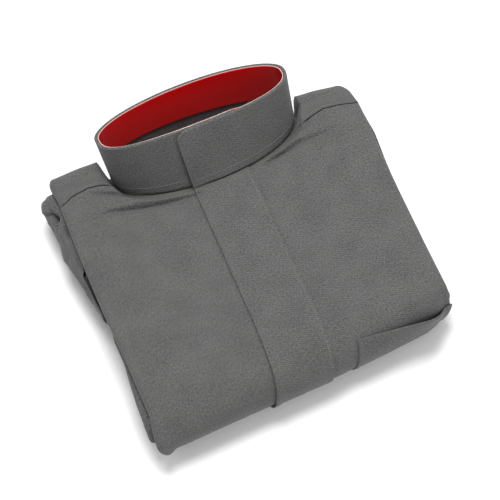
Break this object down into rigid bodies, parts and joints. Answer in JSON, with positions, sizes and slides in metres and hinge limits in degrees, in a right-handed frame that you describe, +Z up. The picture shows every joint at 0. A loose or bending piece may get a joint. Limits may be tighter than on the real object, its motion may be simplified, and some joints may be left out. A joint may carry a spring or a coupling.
{
  "type": "folded thobe robe",
  "caption": "Long plain robe with a stand collar and a covered front placket, pressed, folded into a flat rectangle and lying on its skirt.",
  "frame": {"origin": "on the ground under the middle of the folded robe's bounding box", "axes": "+Z up out of the front, +Y towards the shoulders and collar, +X towards the wearer's left"},
  "size_m": [0.2724, 0.2769, 0.0914],
  "materials": {
    "suiting": "mid grey heather twill suiting, matt",
    "liner": "smooth glossy red band with a pale cut edge"
  },
  "bodies": {
    "root": {"front_right": "suiting", "front_left": "suiting", "placket": "suiting", "chest_pocket": "suiting", "yoke": "suiting", "folded_layers": "suiting", "sleeve_right": "suiting", "sleeve_left": "suiting", "collar": "suiting", "collar_liner": "liner"}
  },
  "joints": []
}
